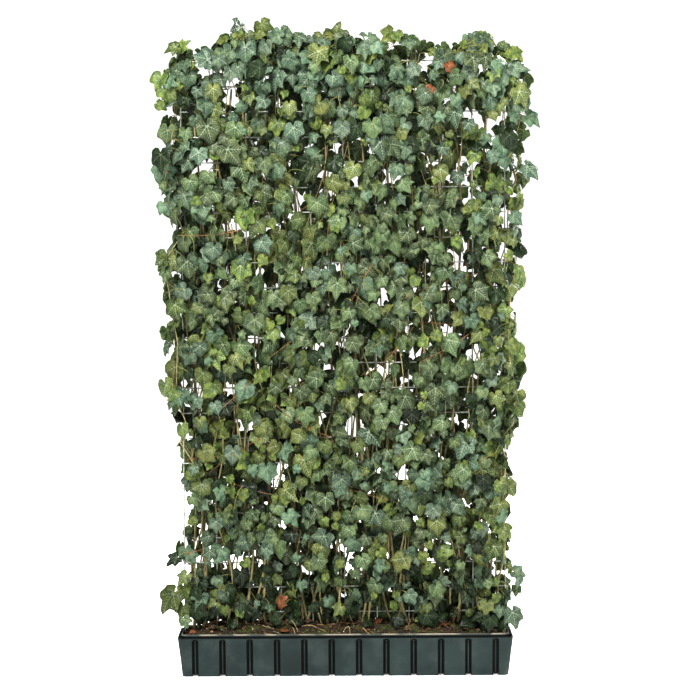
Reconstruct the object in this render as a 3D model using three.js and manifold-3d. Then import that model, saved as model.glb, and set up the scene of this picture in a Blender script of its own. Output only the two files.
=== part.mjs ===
// Potted ivy hedge: ten ivy plants rooted in one long trough and grown up both sides of a welded
// wire mesh panel. Millimetres, +Z up, X along the hedge, -Y the front. The origin is on the
// floor under the middle of the trough.

import * as THREE from "three";
import { mergeVertices } from "three/addons/utils/BufferGeometryUtils.js";
import Module from "manifold-3d";

const wasm = await Module();
wasm.setup();

// Fits
const clearance = 0.3; // between pieces that touch in the real hedge
const handClearance = 3; // between a stem and the wires that it grows past

// Trough
const troughLength = 1000; // outside, at the rim
const troughWidth = 200; // outside, at the rim
const rimHeight = 118;
const draftAngle = 6.7; // degrees that each wall leans out
const wall = 2.5;
const cornerChamfer = 9;
const rimBand = 5; // height of the plain band above the grooves
const grooveCount = 12; // on each long wall
const endPanel = 51.75; // from each end of the trough to its nearest groove's middle
const endGrooveCount = 2; // on each short wall
const endGroovePitch = 80;
const grooveWidth = 12;
const grooveDepth = 6;
const endSlabLength = 40; // how far the end grooves' channels run in under the trough
const channelHeight = 7; // of the channels that carry on across the underside
const channelFlare = 3.5; // how much wider each channel opens at the floor, on each side
const gutterWidth = 8; // between the outer wall and the inner lip
const gutterDepth = 10;
const lipRise = 9; // of the inner lip above the rim
const lipThickness = 2.5;
const webThickness = 2.5;

// Soil
const soilBelowLip = 7;
const soilHeap = 30; // height of the heap above the soil's edge
const soilRoughness = 2.5;
const heapColumns = 18; // grid columns of the heap's surface
const heapRows = 4;

// Mesh panel
const wireDiameter = 4;
const meshEndGap = 5; // from the trough's lip to the outermost upright wires' middle
const meshCells = 10; // across, with one plant to each
const rowPitch = 75;
const rowCount = 25;
const lowestRow = 32; // height of the lowest cross wire
const wireOverhang = 3; // of each wire's end past the last wire that it crosses

// Stems
const stemRadius = 5;
const stemTopRadius = 3;
const stemSides = 5;
const stemSway = 15; // sideways
const stemWeave = 0.55; // radians of the weave for each row of the mesh
const rootDepth = 16; // height of the lowest end above the lowest cross wire
const stemTopDrop = 32; // of the tallest stem's top below the highest cross wire
const stemTopSpread = 40;

// Leaves
const leafLayer = 5; // thickness of the layer of overlapping leaves
const leafRise = 110; // of the highest leaves above the highest cross wire
const hedgeHalfDepth = 104; // from the mesh to the outer leaves
const footHalfDepth = 84; // the same, just above the soil
const endReach = 94; // of the leaves past the outermost wire, at the widest
const waistReach = 31; // the same at the narrowest, low down
const crownRise = 78; // height of the rounded top above the shoulder
const crownDrop = 48; // how much lower the top is at the hedge's two ends
const leafBottomGap = 28; // from the top of the heap of soil to the lowest leaves
const leafBottomSpread = 14;
const leafBump = 8; // unevenness of the leafy face
const endRoundness = 3; // exponent of the rounded ends in plan
const plantWave = 6; // how far the border between two plants strays sideways
const faceRows = 10; // grid rows on each face
const crownRows = 2; // grid rows on each half of the rounded top
const plantColumns = 2; // grid columns across an inner plant
const endColumns = 4; // grid columns across an end plant

// Worked out from the sizes above
const draft = Math.tan(THREE.MathUtils.degToRad(draftAngle));
const gutterFloor = rimHeight - gutterDepth;
const lipTop = rimHeight + lipRise;
const lipInset = wall + gutterWidth + lipThickness;
const openingHalfLength = troughLength / 2 - lipInset;
const openingHalfWidth = troughWidth / 2 - lipInset;
const groovePitch = (troughLength - 2 * endPanel) / (grooveCount - 1);
const wireRadius = wireDiameter / 2;
const meshWidth = 2 * (openingHalfLength - meshEndGap);
const cellWidth = meshWidth / meshCells;
const crossWireY = -(wireDiameter + clearance);
const highestRow = lowestRow + (rowCount - 1) * rowPitch;
const frontStemY = crossWireY - wireRadius - handClearance - stemRadius;
const backStemY = crossWireY + wireRadius + handClearance + stemRadius;
const stemTop = highestRow - stemTopDrop;
const soilEdge = lipTop - soilBelowLip;
const hedgeHeight = highestRow + leafRise;
const hedgeHalfWidth = meshWidth / 2 + endReach;
const waistHalfWidth = meshWidth / 2 + waistReach;
const leafBottom = soilEdge + soilHeap + leafBottomGap;

// Colours and finishes
const finish = (color, roughness, metalness = 0) =>
  new THREE.MeshStandardMaterial({ color, roughness, metalness });
const troughPlastic = finish(0x3a4443, 0.55);
const soilMix = finish(0x35291f, 0.95);
const galvanised = finish(0xb9bdb8, 0.45, 0.9);
const stemBark = finish(0x9a835f, 0.85);
const ivyLeaf = finish(0x466046, 0.5);

// A closed geometry as a manifold-3d solid.
function toSolid(geometry) {
  const bare = geometry.clone();
  bare.deleteAttribute("normal");
  bare.deleteAttribute("uv");
  const merged = mergeVertices(bare, 1e-3);
  return new wasm.Manifold(
    new wasm.Mesh({
      numProp: 3,
      vertProperties: new Float32Array(merged.attributes.position.array),
      triVerts: new Uint32Array(merged.index.array),
    }),
  );
}

// A manifold-3d solid as a geometry with flat faces.
function toGeometry(solid) {
  const { vertProperties, triVerts } = solid.getMesh();
  const geometry = new THREE.BufferGeometry();
  geometry.setAttribute("position", new THREE.BufferAttribute(vertProperties, 3));
  geometry.setIndex(new THREE.BufferAttribute(triVerts, 1));
  const flat = geometry.toNonIndexed();
  flat.computeVertexNormals();
  return flat;
}

function named(name, geometry, material) {
  const mesh = new THREE.Mesh(geometry, material);
  mesh.name = name;
  return mesh;
}

const numbered = (number) => String(number).padStart(2, "0");

// Repeatable unevenness between -1 and 1 for a place along and up the hedge.
const unevenness = (along, up) =>
  (Math.sin(along * 0.061 + up * 0.013) +
    Math.sin(along * 0.029 - up * 0.047 + 1.7) +
    Math.sin(up * 0.023 + along * 0.083 + 4.1)) /
  3;

// ---------------------------------------------------------------- trough

// A rectangle with cut-off corners.
function chamferedOutline(halfLength, halfWidth, chamfer) {
  const outline = new THREE.Shape();
  outline.moveTo(halfLength, chamfer - halfWidth);
  outline.lineTo(halfLength, halfWidth - chamfer);
  outline.lineTo(halfLength - chamfer, halfWidth);
  outline.lineTo(chamfer - halfLength, halfWidth);
  outline.lineTo(-halfLength, halfWidth - chamfer);
  outline.lineTo(-halfLength, chamfer - halfWidth);
  outline.lineTo(chamfer - halfLength, -halfWidth);
  outline.lineTo(halfLength - chamfer, -halfWidth);
  outline.closePath();
  return outline;
}

function prism(halfLength, halfWidth, chamfer, bottom, top) {
  const outline = chamferedOutline(halfLength, halfWidth, chamfer);
  const geometry = new THREE.ExtrudeGeometry(outline, { depth: top - bottom, bevelEnabled: false });
  geometry.translate(0, 0, bottom);
  return geometry;
}

// The space inside the trough's leaning walls, moved in by inset, from one height to another.
function leaningBlock(inset, bottom, top) {
  const halfLength = troughLength / 2 - inset;
  const halfWidth = troughWidth / 2 - inset;
  const geometry = prism(halfLength, halfWidth, cornerChamfer, bottom, top);
  const position = geometry.attributes.position;
  for (let i = 0; i < position.count; i += 1) {
    const lean = draft * (rimHeight - position.getZ(i));
    position.setX(i, position.getX(i) - Math.sign(position.getX(i)) * lean);
    position.setY(i, position.getY(i) - Math.sign(position.getY(i)) * lean);
  }
  return toSolid(geometry);
}

// A slab as wide as a groove, flared where it meets the floor, that runs along Y.
function grooveSlab(inset, top, length) {
  const halfWidth = grooveWidth / 2 + inset;
  const channelTop = channelHeight + inset;
  const flared = halfWidth + channelFlare;
  const profile = new THREE.Shape();
  profile.moveTo(-flared, -1);
  profile.lineTo(flared, -1);
  profile.lineTo(halfWidth, channelTop);
  profile.lineTo(halfWidth, top + 1);
  profile.lineTo(-halfWidth, top + 1);
  profile.lineTo(-halfWidth, channelTop);
  profile.closePath();
  const geometry = new THREE.ExtrudeGeometry(profile, { depth: length, bevelEnabled: false });
  geometry.translate(0, 0, -length / 2);
  geometry.rotateX(Math.PI / 2);
  return geometry;
}

// The grooved form of the trough, moved in by inset: 0 gives its outside.
function groovedForm(inset, top) {
  let form = leaningBlock(inset, inset, top);
  for (let i = 0; i < grooveCount; i += 1) {
    const slab = grooveSlab(inset, top, 2 * troughWidth);
    slab.translate((i - (grooveCount - 1) / 2) * groovePitch, 0, 0);
    form = form.subtract(toSolid(slab));
  }
  for (let i = 0; i < endGrooveCount; i += 1) {
    for (const side of [-1, 1]) {
      const slab = grooveSlab(inset, top, 2 * endSlabLength);
      slab.rotateZ(Math.PI / 2);
      const y = (i - (endGrooveCount - 1) / 2) * endGroovePitch;
      slab.translate((side * troughLength) / 2, y, 0);
      form = form.subtract(toSolid(slab));
    }
  }
  return form.add(leaningBlock(inset + grooveDepth, channelHeight + inset, top));
}

// Small walls across the gutter, one to each panel between two grooves.
function gutterWebs() {
  const reach = gutterWidth + wall;
  const height = gutterDepth - 1;
  const webs = [];
  for (let i = 0; i <= grooveCount; i += 1) {
    for (const side of [-1, 1]) {
      const web = new THREE.BoxGeometry(webThickness, reach, height);
      const y = side * (troughWidth / 2 - wall / 2 - reach / 2);
      const x = (i - grooveCount / 2) * groovePitch;
      const inside = THREE.MathUtils.clamp(x, -openingHalfLength, openingHalfLength);
      web.translate(inside, y, gutterFloor + height / 2 - 0.5);
      webs.push(toSolid(web));
    }
  }
  for (const side of [-1, 1]) {
    const web = new THREE.BoxGeometry(reach, webThickness, height);
    const x = side * (troughLength / 2 - wall / 2 - reach / 2);
    web.translate(x, 0, gutterFloor + height / 2 - 0.5);
    webs.push(toSolid(web));
  }
  return webs;
}

function makeTrough() {
  const outside = groovedForm(0, rimHeight).add(leaningBlock(0, rimHeight - rimBand, rimHeight));
  const shell = outside.subtract(groovedForm(wall, rimHeight + 1));
  const opening = toSolid(
    prism(openingHalfLength, openingHalfWidth, cornerChamfer, gutterFloor - 2 * wall, lipTop + 1),
  );
  const ledge = leaningBlock(wall / 2, gutterFloor - wall, gutterFloor);
  const lip = toSolid(
    prism(
      openingHalfLength + lipThickness,
      openingHalfWidth + lipThickness,
      cornerChamfer + lipThickness,
      gutterFloor - wall,
      lipTop,
    ),
  );
  const rim = ledge.add(lip).subtract(opening);
  const trough = gutterWebs().reduce((whole, web) => whole.add(web), shell.add(rim));
  return named("trough", toGeometry(trough), troughPlastic);
}

// ---------------------------------------------------------------- mesh panel

const uprightX = (column) => (column - meshCells / 2) * cellWidth;
const rowZ = (row) => lowestRow + row * rowPitch;

function uprightWire(column, radius) {
  const bottom = lowestRow - wireOverhang - wireRadius;
  const top = highestRow + wireOverhang + wireRadius;
  const wire = new THREE.CylinderGeometry(radius, radius, top - bottom, 8);
  wire.rotateX(Math.PI / 2);
  wire.translate(uprightX(column), 0, (top + bottom) / 2);
  return wire;
}

function crossWire(row, radius) {
  const length = meshWidth + 2 * (wireRadius + wireOverhang / 2);
  const wire = new THREE.CylinderGeometry(radius, radius, length, 8);
  wire.rotateZ(Math.PI / 2);
  wire.translate(0, crossWireY, rowZ(row));
  return wire;
}

// ---------------------------------------------------------------- stems

const plantX = (plant) => (plant - (meshCells - 1) / 2) * cellWidth;

// Where a stem passes the mesh at a row: it sways sideways and weaves from side to side.
function stemPoint(plant, row) {
  const sway = stemSway * Math.sin(row * 0.47 + plant * 2.3);
  const inFront = Math.sin(row * stemWeave + plant * 1.9) > 0;
  return new THREE.Vector3(plantX(plant) + sway, inFront ? frontStemY : backStemY, rowZ(row));
}

function stemPath(plant) {
  const top = stemTop - stemTopSpread * (0.5 + 0.5 * Math.sin(plant * 2.7));
  const points = [];
  for (let row = 0; row < rowCount && rowZ(row) < top; row += 1) {
    const point = stemPoint(plant, row);
    if (row === 0) {
      point.copy(stemPoint(plant, 1)).setZ(lowestRow + rootDepth);
    }
    points.push(point);
  }
  return new THREE.CatmullRomCurve3(points);
}

// A tube along the stem that thins towards its top, with extra added to its radius.
function stemTube(plant, extra) {
  const path = stemPath(plant);
  const ring = new THREE.Shape();
  for (let i = 0; i < stemSides; i += 1) {
    const angle = (i / stemSides) * 2 * Math.PI;
    const x = stemRadius * Math.cos(angle);
    const y = stemRadius * Math.sin(angle);
    if (i === 0) ring.moveTo(x, y);
    else ring.lineTo(x, y);
  }
  ring.closePath();
  const steps = path.points.length;
  const tube = new THREE.ExtrudeGeometry(ring, { steps, extrudePath: path });
  const centres = path.getSpacedPoints(steps);
  const position = tube.attributes.position;
  const vertex = new THREE.Vector3();
  for (let i = 0; i < position.count; i += 1) {
    vertex.fromBufferAttribute(position, i);
    const distances = centres.map((centre) => centre.distanceTo(vertex));
    const nearest = distances.indexOf(Math.min(...distances));
    const share = nearest / steps;
    const radius = THREE.MathUtils.lerp(stemRadius, stemTopRadius, share) + extra;
    vertex.sub(centres[nearest]).multiplyScalar(radius / stemRadius).add(centres[nearest]);
    position.setXYZ(i, vertex.x, vertex.y, vertex.z);
  }
  return tube;
}

// ---------------------------------------------------------------- soil

function heapHeight(x, y) {
  const across = 1 - (y / openingHalfWidth) ** 2;
  const along = 1 - (x / openingHalfLength) ** 8;
  return soilEdge + soilHeap * across * along + soilRoughness * unevenness(2 * x, 3 * y);
}

function makeSoil() {
  const belowLedge = gutterFloor - wall - clearance;
  const filled = groovedForm(wall + clearance, belowLedge);
  const halfLength = openingHalfLength - clearance;
  const halfWidth = openingHalfWidth - clearance;
  const bottom = belowLedge - wall;
  const heap = new THREE.BoxGeometry(2 * halfLength, 2 * halfWidth, 1, heapColumns, heapRows, 1);
  const position = heap.attributes.position;
  for (let i = 0; i < position.count; i += 1) {
    const isTop = position.getZ(i) > 0;
    position.setZ(i, isTop ? heapHeight(position.getX(i), position.getY(i)) : bottom);
  }
  const corners = toSolid(prism(halfLength, halfWidth, cornerChamfer, bottom - 1, 2 * lipTop));
  let soil = filled.add(toSolid(heap).intersect(corners));
  for (let column = 0; column <= meshCells; column += 1) {
    soil = soil.subtract(toSolid(uprightWire(column, wireRadius + clearance)));
  }
  for (let row = 0; row < rowCount && rowZ(row) < lipTop + soilHeap; row += 1) {
    soil = soil.subtract(toSolid(crossWire(row, wireRadius + clearance)));
  }
  for (let plant = 0; plant < meshCells; plant += 1) {
    soil = soil.subtract(toSolid(stemTube(plant, clearance)));
  }
  return named("potting_soil", toGeometry(soil), soilMix);
}

// ---------------------------------------------------------------- leaves

// Half the hedge's width at a height: widest in its upper part, narrowest low down.
function halfWidthAt(z) {
  const share = (z - leafBottom) / (hedgeHeight - leafBottom);
  const swell = 0.5 - 0.5 * Math.cos(Math.PI * Math.min(1, Math.max(0, (share - 0.12) / 0.5)));
  return THREE.MathUtils.lerp(waistHalfWidth, hedgeHalfWidth, swell);
}

// Half the hedge's depth at a height, measured from the mesh.
function halfDepthAt(x, z) {
  const share = Math.min(1, (z - leafBottom) / (4 * rowPitch));
  const plain = THREE.MathUtils.lerp(footHalfDepth, hedgeHalfDepth - leafBump, share);
  return plain + leafBump * unevenness(x, z);
}

const crownZ = (x) =>
  hedgeHeight - crownDrop * (Math.abs(x) / hedgeHalfWidth) ** 4 - leafBump * (1 - Math.cos(x / 47));

// A point of the leafy skin: around goes from -1, low in front, over the top at 0, to 1, low
// behind; outward goes from 0 to 1 over an end plant's rounded end, and is 0 on the others.
function skinPoint(x, around, outward, inset, side) {
  const side01 = Math.abs(around);
  const crownShare = crownRows / (crownRows + faceRows);
  const shoulder = crownZ(x) - crownRise;
  const phase = 2 * Math.sign(around) * (1 - outward);
  const bottom = leafBottom + leafBottomSpread * Math.sin(x * 0.05 + phase);
  const inCrown = side01 < crownShare;
  const angle = Math.min(1, side01 / crownShare) * (Math.PI / 2);
  const down = Math.max(0, (side01 - crownShare) / (1 - crownShare));
  const z = inCrown
    ? shoulder + (crownRise - inset) * Math.cos(angle)
    : THREE.MathUtils.lerp(shoulder, bottom, down);
  const innerX = side * (meshWidth / 2 - cellWidth);
  const endX = side * (halfWidthAt(z) - inset);
  const straight = outward > 0 ? THREE.MathUtils.lerp(innerX, endX, outward) : x;
  const across = straight + plantWave * (1 - outward) * Math.sin(z * 0.021 + x * 0.02);
  const rounded = (1 - outward ** endRoundness) ** (1 / endRoundness);
  const depth = (halfDepthAt(across, Math.min(z, shoulder)) - inset) * rounded;
  return new THREE.Vector3(across, Math.sign(around) * depth * Math.sin(angle), z);
}

// The layer of leaves that one plant lays over both faces and the top of the mesh, and for the
// two end plants over the end as well.
function makeLeaves(plant) {
  const isEnd = plant === 0 || plant === meshCells - 1;
  const side = Math.sign(plantX(plant));
  const columns = isEnd ? endColumns : plantColumns;
  const rows = 2 * (crownRows + faceRows);
  const nearX = plantX(plant) - side * (cellWidth / 2 - clearance);
  const farX = plantX(plant) + side * (cellWidth / 2 - clearance);
  const skin = (inset) => {
    const points = [];
    for (let row = 0; row <= rows; row += 1) {
      for (let column = 0; column <= columns; column += 1) {
        const share = column / columns;
        const x = THREE.MathUtils.lerp(nearX, farX, share);
        const outward = isEnd && column > 0 ? Math.sin((share * Math.PI) / 2) : 0;
        const around = (2 * row) / rows - 1;
        points.push(skinPoint(isEnd ? nearX : x, around, outward, inset, side));
      }
    }
    return points;
  };
  const points = [...skin(0), ...skin(leafLayer)];
  const inner = points.length / 2;
  const at = (row, column) => row * (columns + 1) + column;
  const faces = [];
  // Both skins split their quads along the same diagonal, so that they never cross.
  const quad = (a, b, c, d, outside = true) => {
    const order = (side > 0) === outside ? [a, b, c, a, c, d] : [a, c, b, a, d, c];
    faces.push(...order);
  };
  for (let row = 0; row < rows; row += 1) {
    for (let column = 0; column < columns; column += 1) {
      const corners = [at(row, column), at(row, column + 1), at(row + 1, column + 1), at(row + 1, column)];
      quad(...corners);
      quad(...corners.map((corner) => corner + inner), false);
    }
    quad(at(row, 0), at(row + 1, 0), at(row + 1, 0) + inner, at(row, 0) + inner);
    if (!isEnd) {
      const far = at(row, columns);
      const next = at(row + 1, columns);
      quad(next, far, far + inner, next + inner);
    }
  }
  for (let column = 0; column < columns; column += 1) {
    const low = at(0, column);
    const high = at(rows, column);
    quad(low + 1, low, low + inner, low + 1 + inner);
    quad(high, high + 1, high + 1 + inner, high + inner);
  }
  const geometry = new THREE.BufferGeometry().setFromPoints(points);
  geometry.setIndex(faces);
  const solid = toSolid(geometry);
  return named(`ivy_${numbered(plant + 1)}_leaves`, toGeometry(solid), ivyLeaf);
}

// ---------------------------------------------------------------- assembly

const hedge = new THREE.Group();
hedge.name = "potted_ivy_hedge";
hedge.add(makeTrough());
hedge.add(makeSoil());
for (let column = 0; column <= meshCells; column += 1) {
  const name = `mesh_wire_vertical_${numbered(column + 1)}`;
  hedge.add(named(name, uprightWire(column, wireRadius), galvanised));
}
for (let row = 0; row < rowCount; row += 1) {
  const name = `mesh_wire_horizontal_${numbered(row + 1)}`;
  hedge.add(named(name, crossWire(row, wireRadius), galvanised));
}
for (let plant = 0; plant < meshCells; plant += 1) {
  const name = `ivy_${numbered(plant + 1)}_stem`;
  hedge.add(named(name, toGeometry(toSolid(stemTube(plant, 0))), stemBark));
}
for (let plant = 0; plant < meshCells; plant += 1) {
  hedge.add(makeLeaves(plant));
}

export default hedge;
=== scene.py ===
"""Potted ivy hedge: the looks of a ready-grown ivy screen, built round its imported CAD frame."""

import math
from functools import partial

import bpy
import numpy as np
from bpy.props import FloatProperty, FloatVectorProperty, IntProperty, PointerProperty
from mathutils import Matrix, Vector


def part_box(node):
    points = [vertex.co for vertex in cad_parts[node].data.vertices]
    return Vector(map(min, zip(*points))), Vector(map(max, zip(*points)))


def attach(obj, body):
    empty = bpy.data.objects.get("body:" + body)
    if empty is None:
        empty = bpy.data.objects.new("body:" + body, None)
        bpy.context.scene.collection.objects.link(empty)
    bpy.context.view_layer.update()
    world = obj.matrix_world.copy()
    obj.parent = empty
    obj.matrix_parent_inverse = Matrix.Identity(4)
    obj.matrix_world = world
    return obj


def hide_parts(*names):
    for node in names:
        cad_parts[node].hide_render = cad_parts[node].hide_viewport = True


bl_info = {
    "name": "Potted ivy hedge",
    "version": (1, 0, 0),
    "blender": (4, 5, 0),
    "location": "View3D > Sidebar > Ivy hedge",
    "description": "Builds a ready-grown ivy screen in a trough, with its soil, mesh, stems and leaves",
    "category": "Add Mesh",
}

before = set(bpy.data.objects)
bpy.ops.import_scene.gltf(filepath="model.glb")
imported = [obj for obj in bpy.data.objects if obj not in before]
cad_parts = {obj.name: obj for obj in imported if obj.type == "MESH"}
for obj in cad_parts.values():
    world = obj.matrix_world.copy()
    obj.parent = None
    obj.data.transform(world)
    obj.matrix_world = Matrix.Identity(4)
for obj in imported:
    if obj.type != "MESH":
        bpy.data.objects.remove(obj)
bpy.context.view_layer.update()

MM = 0.001
PLANTS = 10
MESH_WIDTH = 0.962
FRONT = -1
BACK = 1


def linear(hex_colour):
    """An sRGB hex colour as linear RGB."""
    channels = [int(hex_colour[i : i + 2], 16) / 255 for i in (0, 2, 4)]
    return [c / 12.92 if c <= 0.04045 else ((c + 0.055) / 1.055) ** 2.4 for c in channels]


def colour(name, description, hex_colour):
    return FloatVectorProperty(
        name=name,
        description=description,
        subtype="COLOR",
        size=3,
        min=0,
        max=1,
        default=linear(hex_colour),
    )


def length(name, description, metres):
    return FloatProperty(name=name, description=description, default=metres, unit="LENGTH")


class IvySizes(bpy.types.PropertyGroup):
    leaf: length("Leaf length", "Petiole to tip of a full-grown leaf's middle lobe", 0.0395)
    leaf_spread: FloatProperty(
        name="Leaf size spread", description="Share by which full-grown leaves differ", default=0.27
    )
    young_leaf: length("Young leaf length", "The same on a shoot's young leaves", 0.027)
    leaf_thickness: length("Leaf thickness", "Thickness of a blade", 0.0005)
    spacing: length("Leaf spacing", "Distance between leaves of one layer", 0.0420)
    petiole: length("Leaf stalk radius", "Radius of a leaf's stalk", 0.0008)
    shoot: length("Shoot radius", "Radius of a climbing side shoot at its foot", 0.0022)
    shoots: IntProperty(name="Side shoots", description="On each face of a plant", default=6)
    wire: length("Wire radius", "Radius of the welded wires", 0.002)


class IvyColours(bpy.types.PropertyGroup):
    olive: colour("Olive leaf", "Full-grown leaf in the light", "525f31")
    grey_green: colour("Grey-green leaf", "Full-grown leaf with a bloom on it", "4b5c3e")
    blue_green: colour("Blue-green leaf", "Full-grown leaf in the cool top and foot", "4c614f")
    # Dark leaves are old leaves, and they also stand as painted shade deep in the hedge and at the foot
    dark: colour("Dark leaf", "Old leaf", "192911")
    young: colour("Young leaf", "New leaf at a shoot's tip", "66743c")
    underside: colour("Leaf underside", "Paler back of a blade", "566a42")
    vein: colour("Leaf vein", "Pale veins", "abb59c")
    stalk: colour("Leaf stalk", "Leaf stalks and green shoots", "7c8a52")
    red_shoot: colour("Red shoot", "Young woody shoots", "8a4b32")
    bark: colour("Bark", "Old stems", "ab9a7a")
    trough: colour("Trough", "Recycled dark plastic", "384443")
    # A pale line along the top of the inner lip
    pale_lip: colour("Weathered rim", "Dust and bleaching on the rim", "a0988b")
    soil: colour("Soil", "Damp potting mix", "3c3126")
    wire: colour("Wire", "Galvanised wire", "c6cac3")
    floor: colour("Floor", "Pale studio floor", "f4f4f2")


# ------------------------------------------------------------------ making meshes


def add_mesh(name, points, faces, materials, smooth=True):
    """A mesh object from points (n, 3) and a list of face index arrays, each (m, corners)."""
    mesh = bpy.data.meshes.new(name)
    faces = [np.asarray(f, np.int32) for f in faces if len(f)]
    corners = np.concatenate([f.ravel() for f in faces])
    counts = np.concatenate([np.full(len(f), f.shape[1], np.int32) for f in faces])
    starts = np.concatenate([[0], np.cumsum(counts)[:-1]]).astype(np.int32)
    mesh.vertices.add(len(points))
    mesh.vertices.foreach_set("co", np.asarray(points, np.float32).ravel())
    mesh.loops.add(len(corners))
    mesh.loops.foreach_set("vertex_index", corners)
    mesh.polygons.add(len(counts))
    mesh.polygons.foreach_set("loop_start", starts)
    mesh.polygons.foreach_set("use_smooth", np.full(len(counts), smooth))
    mesh.update(calc_edges=True)
    for material in materials:
        mesh.materials.append(material)
    made = bpy.data.objects.new(name, mesh)
    bpy.context.scene.collection.objects.link(made)
    return made


def add_values(piece, name, values):
    """A number for each point of a piece, for its material to read."""
    layer = piece.data.attributes.new(name, "FLOAT", "POINT")
    layer.data.foreach_set("value", np.asarray(values, np.float32))


def add_colours(piece, name, rgb):
    """A colour for each point of a piece, for its material to read."""
    rgba = np.concatenate([rgb, np.ones((len(rgb), 1))], axis=1)
    layer = piece.data.attributes.new(name, "FLOAT_COLOR", "POINT")
    layer.data.foreach_set("color", rgba.astype(np.float32).ravel())


def add_map(piece, name, corner_uv):
    layer = piece.data.uv_layers.new(name=name)
    layer.uv.foreach_set("vector", np.asarray(corner_uv, np.float32).ravel())


def finish_piece(piece, slot, *nodes):
    """Ties a piece to the one body and hides the CAD nodes that it stands for; its slot is not used."""
    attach(piece, "root")
    if nodes:
        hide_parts(*nodes)


def unit(v):
    return v / np.maximum(np.linalg.norm(v, axis=-1, keepdims=True), 1e-9)


def tubes(paths, radii, sides):
    """Round tubes with closed ends along paths (n, k, 3) with radii (n, k): points and faces."""
    n, k, _ = paths.shape
    along = unit(np.gradient(paths, axis=1))
    chord = unit(paths[:, -1] - paths[:, 0])
    handy = np.where(np.abs(chord[:, 1:2]) > 0.8, [[1.0, 0, 0]], [[0, 1.0, 0]])
    across = unit(np.cross(along, handy[:, None]))
    third = np.cross(along, across)
    angles = np.arange(sides) * 2 * math.pi / sides
    ring = (
        np.cos(angles)[None, None, :, None] * across[:, :, None]
        + np.sin(angles)[None, None, :, None] * third[:, :, None]
    )
    points = (paths[:, :, None] + ring * radii[:, :, None, None]).reshape(-1, 3)
    index = np.arange(n * k * sides).reshape(n, k, sides)
    turned = np.roll(index, -1, axis=2)
    walls = np.stack([index[:, :-1], turned[:, :-1], turned[:, 1:], index[:, 1:]], axis=-1)
    walls = walls.reshape(-1, 4)[:, ::-1]
    ends = np.concatenate([index[:, 0], index[:, -1, ::-1]])
    return points, [walls, ends]


def lumps(rng, centres, radii):
    """Crumbs: squashed and turned icosahedra (n places, n by 3 radii) with moved corners."""
    g = (1 + math.sqrt(5)) / 2
    corners = [c for a in (-1, 1) for b in (-g, g) for c in ((0, a, b), (a, b, 0), (b, 0, a))]
    corners = np.array(corners)
    gaps = np.linalg.norm(corners[:, None] - corners[None], axis=2)
    near = np.abs(gaps - 2) < 0.01
    picks = [(i, j, k) for i in range(12) for j in range(i) for k in range(j)]
    sides = np.array([t for t in picks if near[t[0], t[1]] and near[t[1], t[2]] and near[t[0], t[2]]])
    a, b, c = (corners[sides[:, i]] for i in range(3))
    inward = np.sum(np.cross(b - a, c - a) * a, axis=1) < 0
    sides[inward] = sides[inward][:, ::-1]
    n = len(centres)
    shape = unit(corners)[None] * (1 + rng.normal(0, 0.16, (n, 12, 1))) * radii[:, None]
    turn, tilt = rng.uniform(0, 6.3, (n, 1)), rng.normal(0, 0.35, (n, 1))
    x, y, z = shape[..., 0], shape[..., 1], shape[..., 2]
    y, z = y * np.cos(tilt) - z * np.sin(tilt), y * np.sin(tilt) + z * np.cos(tilt)
    x, y = x * np.cos(turn) - y * np.sin(turn), x * np.sin(turn) + y * np.cos(turn)
    points = np.stack([x, y, z], axis=-1) + centres[:, None]
    faces = sides[None] + 12 * np.arange(n)[:, None, None]
    return points.reshape(-1, 3), [faces.reshape(-1, 3)]


def joined(parts):
    """Several parts, each points and face arrays, as one, with faces grouped by corners."""
    faces, base = [], 0
    for part_points, part_faces in parts:
        faces += [f + base for f in part_faces]
        base += len(part_points)
    widths = sorted({f.shape[1] for f in faces})
    grouped = [np.concatenate([f for f in faces if f.shape[1] == w]) for w in widths]
    return np.concatenate([points for points, _ in parts]), grouped


# ------------------------------------------------------------------ making materials

# Settings that many nodes share
SMOOTH = {"interpolation_type": "SMOOTHSTEP"}
TIMES = {"operation": "MULTIPLY"}
LESS = {"operation": "SUBTRACT"}
TINT = {"data_type": "RGBA", "output": 2}
DARKEN = {"blend_type": "MULTIPLY", **TINT}


def set_inputs(node, inputs):
    """A node's inputs, by name or by place: a socket is linked, anything else is set."""
    for key, value in inputs.items() if isinstance(inputs, dict) else enumerate(inputs):
        if isinstance(value, bpy.types.NodeSocket):
            node.id_data.links.new(value, node.inputs[key])
        else:
            node.inputs[key].default_value = value


def add_node(tree, kind, inputs=(), output=0, **settings):
    """Adds a node with its settings and links, and gives one of its outputs."""
    made = tree.nodes.new("ShaderNode" + kind)
    for name, value in settings.items():
        setattr(made, name, value)
    set_inputs(made, inputs)
    return made.outputs[output]


def new_material(name, roughness, ior=1.5, metallic=0.0):
    """A material, its Principled shader, and add_node for its tree."""
    material = bpy.data.materials.new(name)
    material.use_nodes = True
    shader = material.node_tree.nodes["Principled BSDF"]
    set_inputs(shader, {"Roughness": roughness, "Metallic": metallic})
    if not metallic:
        set_inputs(shader, {"IOR": ior})
    return material, shader, partial(add_node, material.node_tree)


def rgba(colour):
    """A hex colour or linear RGB with its alpha."""
    return (*(linear(colour) if isinstance(colour, str) else colour), 1.0)


def grain(where, size_mm, detail=3.0, roughness=0.5):
    """A noise's inputs for lumps about size_mm across."""
    return {"Vector": where, "Scale": 1 / (size_mm * MM), "Detail": detail, "Roughness": roughness}


def relief(height, depth_mm, strength):
    """A bump's inputs for a relief about depth_mm deep."""
    return {"Height": height, "Distance": depth_mm * MM, "Strength": strength}


def share_of(add, *parts):
    """Parts multiplied: each a number, a socket, or a value with the range that means 0 to 1."""
    share = None
    for part in parts:
        if isinstance(part, tuple):
            part = add("MapRange", part, **SMOOTH)
        share = part if share is None else add("Math", (share, part), **TIMES)
    return share


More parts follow.
